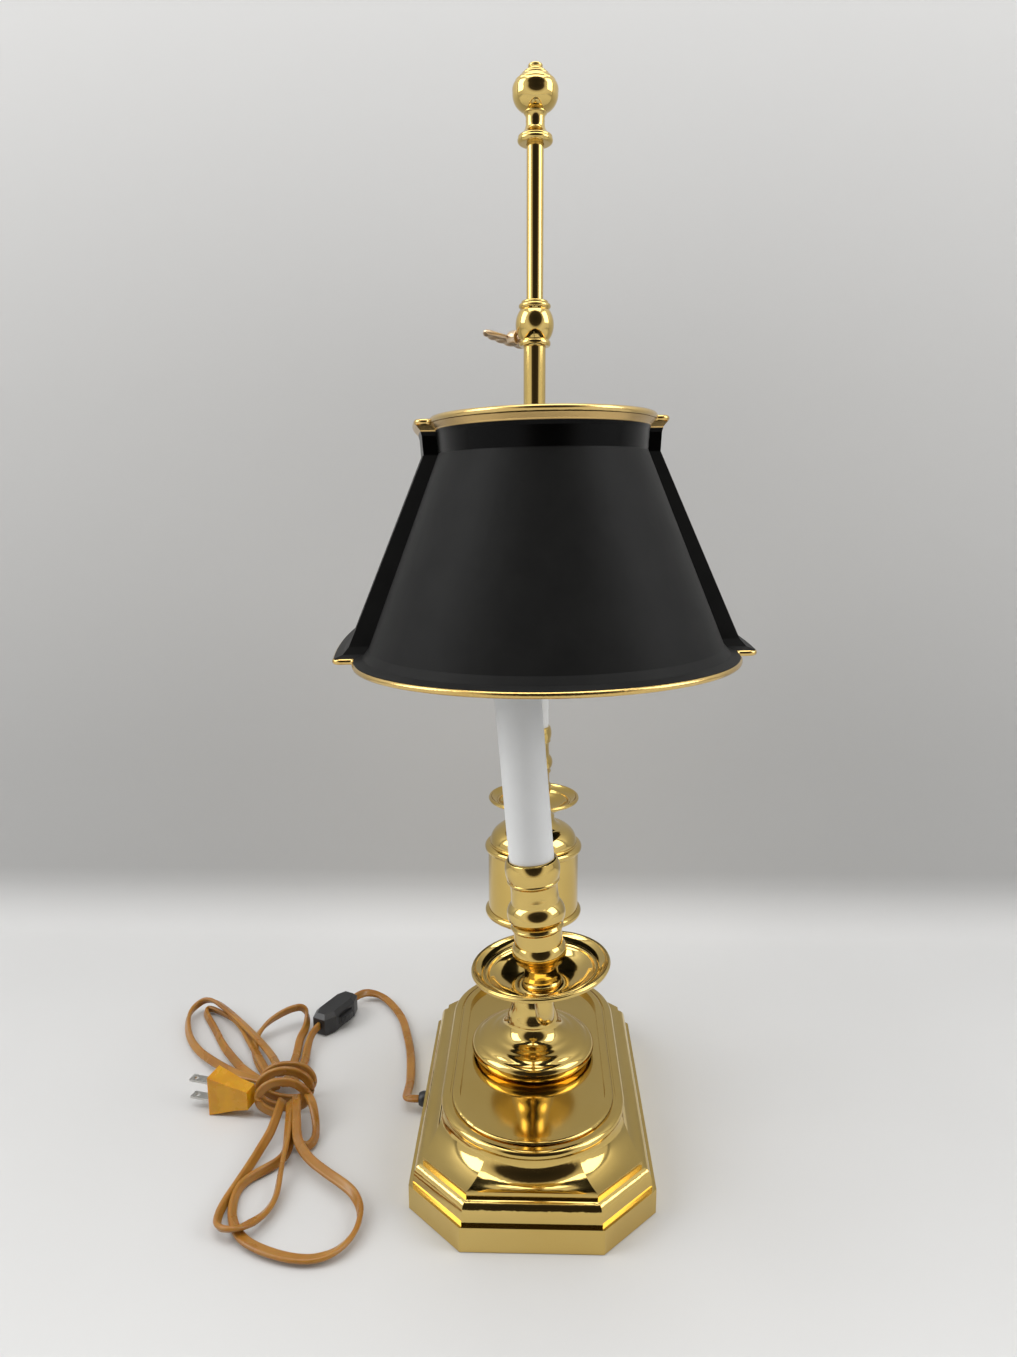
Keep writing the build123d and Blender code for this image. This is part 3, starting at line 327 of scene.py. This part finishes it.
FINIAL = [
    (4.9, 600.0), (8.0, 600.0), (9.5, 603.0, 1.0), (8.6, 604.6, 0.4), (5.3, 611.5, -1.2), (5.9, 615.2, -0.3),
    (6.3, 615.4), (6.4, 616.4, 0.1), (12.6, 625.7, 1.9), (11.9, 630.2, 0.4), (11.5, 630.5),
    (10.4, 632.3, 0.25), (9.9, 632.5), (8.2, 634.1, 0.2), (7.7, 634.3), (6.9, 635.4, 0.3), (6.3, 635.6),
    (5.6, 636.6, 0.3), (4.4, 637.6, -0.2), (3.5, 638.0), (3.9, 638.4, 0.2), (3.9, 639.7, 0.15),
    (3.3, 640.1, 0.1), (0.0, 640.1), (0.0, 609.8), (4.9, 609.8),
]
# How far the arms reach. The front one is loose: it has turned a little and leans on its own axis.
REACH = 0.1325
ARM_HEIGHT = 0.168
FRONT_TURN, FRONT_LEAN = radians(2.2), radians(-4.75)
front_end = (
    Matrix.Rotation(FRONT_TURN, 4, "Z") @ Matrix.Translation((0, 0, ARM_HEIGHT))
    @ Matrix.Rotation(FRONT_LEAN, 4, "X") @ Matrix.Translation((-REACH, 0, -ARM_HEIGHT))
)
turned_piece("column_foot_piece", "column_foot", FOOT)
turned_piece("drip_pan_front_piece", "drip_pan_front", PAN, front_end)
turned_piece("drip_pan_back_piece", "drip_pan_back", PAN, Matrix.Translation((REACH, 0, 0)))
turned_piece("finial_piece", "finial", FINIAL)


# ---------------------------------------------------------------- thumb key
KEY_HEIGHT = 0.5
KEY_BEARING = radians(50)
KEY_TURN = radians(97)
KEY_STEM = [
    (0.0, 4.9), (2.4, 4.9), (2.4, 12.6), (3.3, 12.2), (4.2, 12.8, 0.4), (4.1, 17.5, 0.2), (2.0, 19.5, 0.5),
    (0.0, 19.8),
]
WING_HALF_SPAN = 19
WING_COLUMNS, WING_ROWS = 60, 14
SCALLOPS = 5


def wing_spot(u, v, side):
    """A point on the wing, in mm: u runs from -1 to 1 along it, v from 0 to 1 across it, side is 1 or -1."""
    inner = 16.5 + 4.0 * abs(u) ** 1.6
    outer = 28.4 - 6.2 * abs(u) ** 3 + 1.1 * abs(cos(SCALLOPS / 2 * pi * u))
    rim = min(1, min(v, 1 - v) * 4.4) ** 0.5
    tip = max(0.0, 1 - abs(u) ** 8) ** 0.5
    rib = 1 + 0.16 * v * cos(SCALLOPS * pi * u)
    thick = (0.35 + 1.25 * rim * tip) * rib
    return Vector((WING_HALF_SPAN * u, side * thick, inner + v * (outer - inner)))


def thumb_key():
    """Thumb screw: stem, cupped boss and a shell-shaped wing with a scalloped edge."""
    place = (
        Matrix.Translation((0, 0, KEY_HEIGHT)) @ Matrix.Rotation(KEY_BEARING, 4, "Z")
        @ Matrix.Rotation(radians(90), 4, "Y") @ Matrix.Rotation(KEY_TURN, 4, "Z")
    )
    work = bmesh.new()
    lathe(work, KEY_STEM, place, KEY_SIDES)
    sheets = []
    for side in (1, -1):
        rows = []
        for row in range(WING_ROWS + 1):
            shares = [2 * column / WING_COLUMNS - 1 for column in range(WING_COLUMNS + 1)]
            rows.append([work.verts.new(place @ (wing_spot(u, row / WING_ROWS, side) / MM)) for u in shares])
        sheets.append(rows)
        for first, second in zip(rows, rows[1:]):
            for column in range(WING_COLUMNS):
                corners = (first[column], first[column + 1], second[column + 1], second[column])
                work.faces.new(corners).smooth = True
    top, bottom = sheets
    border = [(0, column) for column in range(WING_COLUMNS)]
    border += [(row, WING_COLUMNS) for row in range(WING_ROWS)]
    border += [(WING_ROWS, column) for column in range(WING_COLUMNS, 0, -1)]
    border += [(row, 0) for row in range(WING_ROWS, 0, -1)]
    for (row, column), (next_row, next_column) in zip(border, border[1:] + border[:1]):
        corners = (
            top[row][column], top[next_row][next_column], bottom[next_row][next_column], bottom[row][column],
        )
        work.faces.new(corners).smooth = True
    brass_piece("thumb_key_piece", work, key_brass, "thumb_key", "key", 40)


thumb_key()


# ---------------------------------------------------------------- flat cord
CORD_WIDTH = 0.0062
CORD_THICK = 0.0031
RIB_ARC = radians(230)
RIB_STEPS = 8


def route_points(name, points):
    """The points along the smooth NURBS line that the given points pull."""
    curve = bpy.data.curves.new(name, "CURVE")
    curve.dimensions = "3D"
    curve.resolution_u = 10
    spline = curve.splines.new("NURBS")
    spline.points.add(len(points) - 1)
    for point, place in zip(spline.points, points):
        point.co = (*place, 1)
    spline.order_u = 3
    spline.use_endpoint_u = True
    holder = bpy.data.objects.new(name, curve)
    bpy.context.scene.collection.objects.link(holder)
    mesh = bpy.data.meshes.new_from_object(holder)
    line = [vertex.co.copy() for vertex in mesh.vertices]
    bpy.data.objects.remove(holder)
    bpy.data.curves.remove(curve)
    bpy.data.meshes.remove(mesh)
    return line


def flat_cord(name, points, rolls):
    """Two-rib flat cord along points; rolls are the flat side's turns in degrees, evenly spaced along it."""
    line = route_points(name + "_line", points)
    rib = CORD_THICK / 2
    reach = (CORD_WIDTH - CORD_THICK) / 2
    section = []
    for side in (1, -1):
        for step in range(RIB_STEPS + 1):
            angle = RIB_ARC * (step / RIB_STEPS - 0.5)
            section.append((side * (reach + rib * cos(angle)), side * rib * sin(angle)))
    work = bmesh.new()
    rings = []
    for index, here in enumerate(line):
        before = line[max(index - 1, 0)]
        after = line[min(index + 1, len(line) - 1)]
        ahead = (after - before).normalized()
        side = ahead.cross(Vector((0, 0, 1)))
        side = side.normalized() if side.length > 0.05 else Vector((1, 0, 0))
        top = side.cross(ahead)
        share = index / (len(line) - 1) * (len(rolls) - 1)
        low = min(int(share), len(rolls) - 2)
        turn = radians(rolls[low] + (rolls[low + 1] - rolls[low]) * (share - low))
        wide = side * cos(turn) + top * sin(turn)
        deep = top * cos(turn) - side * sin(turn)
        rings.append([work.verts.new(here + wide * u + deep * v) for u, v in section])
    count = len(section)
    for first, second in zip(rings, rings[1:]):
        for corner in range(count):
            after = (corner + 1) % count
            work.faces.new((first[corner], first[after], second[after], second[corner])).smooth = True
    work.faces.new(list(reversed(rings[0])))
    work.faces.new(rings[-1])
    mesh = to_mesh(name, work)
    mesh.materials.append(vinyl)
    piece = link(name, mesh)
    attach(piece, "lamp")
    length = sum((b - a).length for a, b in zip(line, line[1:]))
    return piece, line, length


def mm(*points):
    """Points given in mm, in metres."""
    return [tuple(value / MM for value in point) for point in points]


LEAD = mm(
    (0, 76.5, 10.4), (0, 81.5, 10.4), (3, 85.5, 9), (13, 86, 6.5), (27, 86, 4.2), (45, 88, 3.2),
    (66, 91, 3.2), (90, 97, 3.2), (110, 103, 3.2), (127, 112, 3.2), (140, 122, 4), (144, 132, 6),
    (139, 141.7, 8.5), (127.95, 146.96, 8.5),
)
TAIL = mm(
    (90.05, 165.04, 8.5), (81, 168.5, 8), (66, 168.5, 5), (49, 166, 4.5), (33, 166, 8),
    (28.5, 166, 10), (16, 166, 10),
)
KNOT = mm(
    (14, 157, 4), (15, 152, 9), (15, 152.5, 17), (15, 158, 23), (14.5, 169, 25), (13.5, 181, 22.5),
    (12.5, 187, 14), (11, 185, 5.5), (9, 172, 2.5), (7.5, 157, 4), (7, 151.5, 10), (7, 153, 19),
    (6.5, 161, 25), (5.5, 172, 26.5), (4.5, 183, 22), (3.5, 187.5, 13), (2, 184, 5), (0, 172, 2.5),
    (-1.5, 157, 4), (-2, 152, 10), (-2.5, 153.5, 18), (-3, 161, 23.5), (-4, 172, 24.5), (-5.5, 181, 20.5),
    (-6.5, 185, 13), (-7.5, 181, 6), (-8, 172, 3.5),
)
FAR_LEFT = mm(
    (14, 184, 12), (19, 202, 12), (31, 217, 9), (43, 231, 7), (59, 248, 5), (78, 262, 4), (98, 271, 4),
    (112, 274, 5), (120, 271, 7), (123, 265, 10), (120, 256, 11), (109, 242, 9), (92, 225, 8),
    (76, 211, 8), (57, 196, 9), (35, 183, 13), (16, 175, 16),
)
FAR_MID = mm(
    (14, 181, 8), (29, 203, 8), (49, 219, 6), (70, 234, 4), (90, 246, 4), (106, 257, 4), (116, 263, 4),
    (121, 261, 4), (114, 249, 4), (104, 236, 4), (92, 225, 4), (74, 214, 4), (55, 203, 6),
    (36, 192, 8), (16, 180, 9),
)
FAR_RIGHT = mm(
    (15, 178, 6), (40, 196, 4), (60, 206, 4), (76, 211, 5), (89, 207, 9), (97, 198, 13), (103, 189, 15),
    (106, 181, 15), (104, 177, 9), (94, 176, 4), (80, 177.5, 4), (63, 175, 4), (43, 173, 6), (16, 172, 8),
)
NEAR_LEFT = mm(
    (-6, 168, 12), (-29, 168, 8), (-39, 171, 5), (-57, 174, 4), (-74, 177, 4), (-90, 180, 4),
    (-102, 180, 5), (-112, 177, 7), (-116, 169, 9), (-113, 162, 8), (-104, 157, 5), (-96, 153, 4),
    (-85, 151, 4), (-75, 152, 5), (-64, 153, 8), (-47, 155, 8), (-33, 157, 9), (-8, 162, 12),
)
NEAR_RIGHT = mm(
    (-8, 160, 6), (-35, 155, 4), (-48, 155, 3.5), (-55, 158, 3.5), (-62, 165, 3.5), (-69, 172, 3.5),
    (-78, 176, 3.5), (-91, 175, 3.5), (-101, 172, 3.5), (-110, 167, 3.5), (-118, 160, 4), (-123, 151, 4),
    (-127, 141, 4), (-130, 129, 4), (-130, 117, 4), (-124, 106, 4), (-111, 99, 4), (-96, 98, 5),
    (-85, 104, 7), (-78, 112, 8), (-69, 124, 8), (-58, 137, 8), (-47, 146, 9), (-37, 151, 12),
    (-6, 158, 15),
)
SIDE = mm(
    (6, 156, 12), (-8, 148, 15), (-16, 144, 12), (-24, 141, 6), (-33, 139.5, 4), (-41, 142, 4),
    (-41, 147, 5), (-36, 151, 8), (-27, 154, 11), (-7, 157, 10),
)

lead, lead_line, lead_length = flat_cord("cord_lead_piece", LEAD, [0, 0, 0, 0, 0, 0, 90])
tail, tail_line, tail_length = flat_cord("cord_tail_piece", TAIL, [90, 40, 0, 30])
knot, knot_line, knot_length = flat_cord("cord_knot_piece", KNOT, [90, 90, 90])
loops = {
    "far_left": (FAR_LEFT, [0, 50, 60, 80, 30, 20, 10]),
    "far_mid": (FAR_MID, [0, 60, 70, 60, 20, 10]),
    "far_right": (FAR_RIGHT, [0, 30, 80, 80, 20, 0]),
    "near_left": (NEAR_LEFT, [40, 60, 70, 60, 10, 60, 80, 40]),
    "near_right": (NEAR_RIGHT, [0, 60, 80, 50, 0, 0, 10, 80, 30, 20, 20]),
    "side": (SIDE, [0, 60, 80, 60]),
}
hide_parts("cord_lead")
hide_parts("cord_tail")
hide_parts("cord_knot")
for name, (points, rolls) in loops.items():
    piece, line, length = flat_cord("cord_loop_" + name, points, rolls)
    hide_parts("cord_loops_back" if name.startswith("far") else "cord_loops_front")


# ---------------------------------------------------------------- floor, backdrop and light
stage_material, stage_nodes, stage_links, stage_shader = material("stage")
stage_place = stage_nodes.new("ShaderNodeTexCoord")
stage_split = stage_nodes.new("ShaderNodeSeparateXYZ")
stage_links.new(stage_place.outputs["Object"], stage_split.inputs["Vector"])
# painted light and shade on the backdrop: lightest on the floor, darker from the bend up to about 0.16 m,
# lighter again higher up the wall
stage_painted_shade_colours = ramp(stage_nodes, stage_links, stage_split.outputs["Z"], [
    (0.002, (0.66, 0.66, 0.655)), (0.035, (0.53, 0.53, 0.525)), (0.16, (0.53, 0.53, 0.525)),
    (0.50, (0.60, 0.60, 0.595)), (0.80, (0.70, 0.70, 0.695)),
])
stage_links.new(stage_painted_shade_colours.outputs["Color"], stage_shader.inputs["Base Color"])
stage_shader.inputs["Roughness"].default_value = 0.9
stage_shader.inputs["Specular IOR Level"].default_value = 0.15
# from behind, the backdrop is clear
stage_side = stage_nodes.new("ShaderNodeNewGeometry")
stage_clear = stage_nodes.new("ShaderNodeBsdfTransparent")
stage_mix = stage_nodes.new("ShaderNodeMixShader")
stage_links.new(stage_side.outputs["Backfacing"], stage_mix.inputs["Fac"])
stage_links.new(stage_shader.outputs["BSDF"], stage_mix.inputs[1])
stage_links.new(stage_clear.outputs["BSDF"], stage_mix.inputs[2])
stage_links.new(stage_mix.outputs["Shader"], stage_nodes["Material Output"].inputs["Surface"])
FLOOR_FRONT, FLOOR_BACK = -0.85, 0.25
BEND, BEND_STEPS = 0.05, 12
WALL_TOP, HALF_WIDTH = 2.6, 3.0
profile = [(FLOOR_FRONT, 0.0), (FLOOR_BACK, 0.0)]
for step in range(1, BEND_STEPS + 1):
    angle = radians(90 * step / BEND_STEPS)
    profile.append((FLOOR_BACK + BEND * sin(angle), BEND - BEND * cos(angle)))
profile.append((FLOOR_BACK + BEND, WALL_TOP))
floor_work = bmesh.new()
edges = [[floor_work.verts.new((x, y, z)) for x, z in profile] for y in (-HALF_WIDTH, HALF_WIDTH)]
for index in range(len(profile) - 1):
    floor_work.faces.new((
        edges[0][index], edges[0][index + 1], edges[1][index + 1], edges[1][index],
    )).smooth = True
floor_mesh = bpy.data.meshes.new("backdrop")
floor_work.to_mesh(floor_mesh)
floor_work.free()
backdrop = link("backdrop", floor_mesh)
floor_mesh.materials.append(stage_material)


def lamp(name, place, target, size, power):
    """A soft lamp at place that faces target."""
    data = bpy.data.lights.new(name, "AREA")
    data.shape = "RECTANGLE"
    data.size, data.size_y = size
    data.energy = power
    made = bpy.data.objects.new(name, data)
    bpy.context.scene.collection.objects.link(made)
    made.location = place
    made.rotation_euler = (Vector(target) - Vector(place)).to_track_quat("-Z", "Y").to_euler()


lamp("key", (-0.35, 1.5, 1.3), (0.05, 0, 0.2), (0.9, 1.3), 13.5)
lamp("fill", (-0.35, -1.5, 1.3), (0.05, 0, 0.2), (0.9, 1.3), 12.2)
lamp("overhead", (-0.2, 0.0, 1.9), (0.05, 0, 0), (1.5, 0.9), 11)

# the light tent: bright all round, with its dark open front behind the camera
TENT_FRONT = (-0.90, -0.08, 0.42)
world = bpy.data.worlds.new("world")
bpy.context.scene.world = world
world.use_nodes = True
sky_nodes, sky_links = world.node_tree.nodes, world.node_tree.links
background = sky_nodes["Background"]
background.inputs["Strength"].default_value = 0.9
direction = sky_nodes.new("ShaderNodeTexCoord")
front = sky_nodes.new("ShaderNodeVectorMath")
front.operation = "DOT_PRODUCT"
front.inputs[1].default_value = Vector(TENT_FRONT).normalized()
sky_links.new(direction.outputs["Generated"], front.inputs[0])
tent = ramp(sky_nodes, sky_links, front.outputs["Value"], [
    (0.0, (0.80, 0.80, 0.80)), (0.62, (1.0, 1.0, 1.0)), (0.74, (0.75, 0.72, 0.68)),
    (0.82, (0.06, 0.05, 0.045)), (1.0, (0.03, 0.027, 0.025)),
])
sky_links.new(tent.outputs["Color"], background.inputs["Color"])
